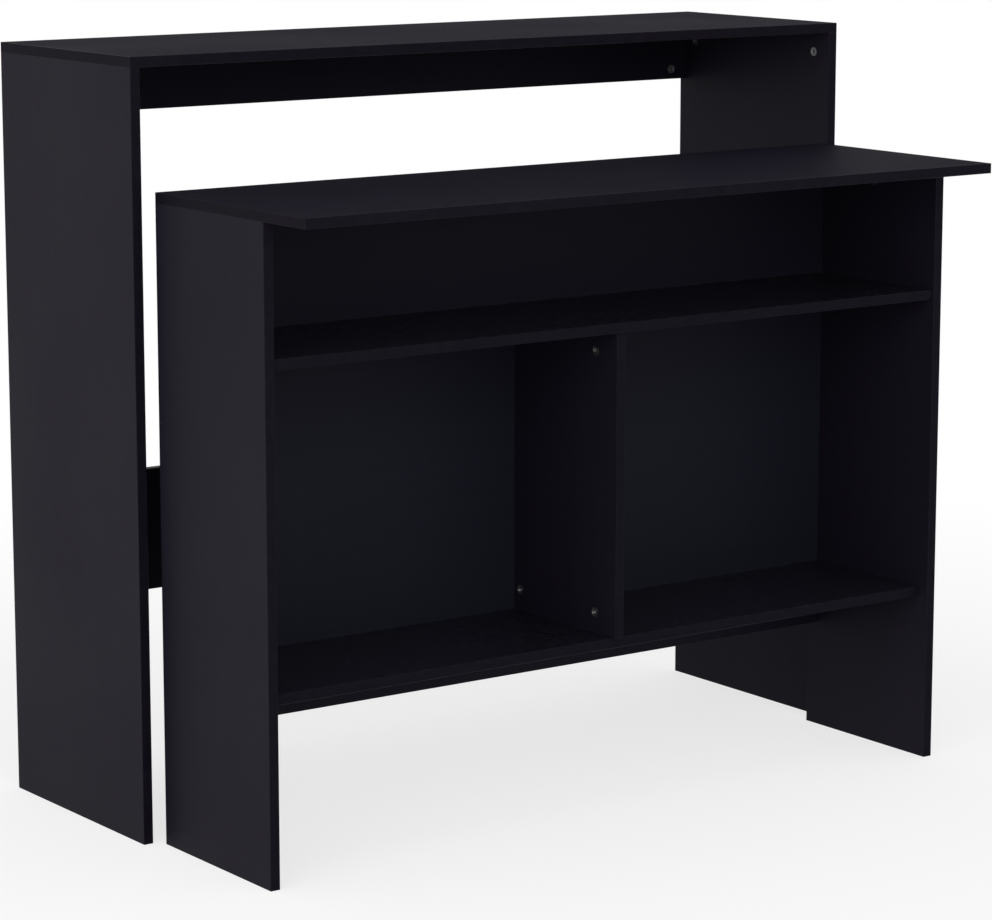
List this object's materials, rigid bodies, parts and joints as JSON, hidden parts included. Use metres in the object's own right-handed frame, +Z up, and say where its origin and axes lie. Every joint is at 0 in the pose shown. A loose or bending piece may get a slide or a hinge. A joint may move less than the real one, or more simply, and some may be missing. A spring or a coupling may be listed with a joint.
{
  "type": "bar table",
  "caption": "Flat-pack bar counter: a tall table with back rails and a lower shelved serving table that slides in under it.",
  "frame": {"origin": "on the floor, in the middle of the ground that both tables cover with the low one standing in front of the tall one", "axes": "+Z up, +X to the right along the length for someone facing the low table's shelves, -Y towards that person, +Y towards the guests' side at the tall table's back"},
  "size_m": [1.37, 0.825, 1.2],
  "materials": {
    "black_laminate": "satin black melamine-faced chipboard with black lippings",
    "cam_zinc": "die-cast zinc, dull grey",
    "bolt_steel": "zinc-plated steel",
    "dowel_beech": "bare beech"
  },
  "bodies": {
    "tall_table": {"tall_left_side": "black_laminate", "tall_left_side_front_cam_bolt": "bolt_steel", "tall_left_side_front_cam_lock": "cam_zinc", "tall_left_side_rear_cam_bolt": "bolt_steel", "tall_left_side_rear_cam_lock": "cam_zinc", "tall_lower_rail": "black_laminate", "tall_lower_rail_left_cam_bolt": "bolt_steel", "tall_lower_rail_left_cam_lock": "cam_zinc", "tall_lower_rail_left_dowel": "dowel_beech", "tall_lower_rail_right_cam_bolt": "bolt_steel", "tall_lower_rail_right_cam_lock": "cam_zinc", "tall_lower_rail_right_dowel": "dowel_beech", "tall_right_side": "black_laminate", "tall_right_side_front_cam_bolt": "bolt_steel", "tall_right_side_front_cam_lock": "cam_zinc", "tall_right_side_rear_cam_bolt": "bolt_steel", "tall_right_side_rear_cam_lock": "cam_zinc", "tall_top": "black_laminate", "tall_upper_rail": "black_laminate", "tall_upper_rail_left_cam_bolt": "bolt_steel", "tall_upper_rail_left_cam_lock": "cam_zinc", "tall_upper_rail_left_dowel": "dowel_beech", "tall_upper_rail_right_cam_bolt": "bolt_steel", "tall_upper_rail_right_cam_lock": "cam_zinc", "tall_upper_rail_right_dowel": "dowel_beech"},
    "low_table": {"low_back_board": "black_laminate", "low_back_board_left_dowel": "dowel_beech", "low_back_board_right_dowel": "dowel_beech", "low_bottom_shelf": "black_laminate", "low_bottom_shelf_left_cam_bolt": "bolt_steel", "low_bottom_shelf_left_cam_lock": "cam_zinc", "low_bottom_shelf_left_dowel": "dowel_beech", "low_bottom_shelf_right_cam_bolt": "bolt_steel", "low_bottom_shelf_right_cam_lock": "cam_zinc", "low_bottom_shelf_right_dowel": "dowel_beech", "low_divider": "black_laminate", "low_divider_bottom_front_cam_bolt": "bolt_steel", "low_divider_bottom_front_cam_lock": "cam_zinc", "low_divider_bottom_rear_cam_bolt": "bolt_steel", "low_divider_bottom_rear_cam_lock": "cam_zinc", "low_divider_top_front_cam_bolt": "bolt_steel", "low_divider_top_front_cam_lock": "cam_zinc", "low_divider_top_rear_cam_bolt": "bolt_steel", "low_divider_top_rear_cam_lock": "cam_zinc", "low_left_side": "black_laminate", "low_left_side_cam_bolt": "bolt_steel", "low_left_side_cam_lock": "cam_zinc", "low_left_side_dowel": "dowel_beech", "low_middle_shelf": "black_laminate", "low_middle_shelf_left_cam_bolt": "bolt_steel", "low_middle_shelf_left_cam_lock": "cam_zinc", "low_middle_shelf_left_dowel": "dowel_beech", "low_middle_shelf_right_cam_bolt": "bolt_steel", "low_middle_shelf_right_cam_lock": "cam_zinc", "low_middle_shelf_right_dowel": "dowel_beech", "low_right_side": "black_laminate", "low_right_side_cam_bolt": "bolt_steel", "low_right_side_cam_lock": "cam_zinc", "low_right_side_dowel": "dowel_beech", "low_top": "black_laminate"}
  },
  "joints": [
    {"name": "low_table_slide", "type": "slide", "parent": "tall_table", "child": "low_table", "axis": [0, 1, 0], "range_m": [-0.3, 0.398]}
  ]
}
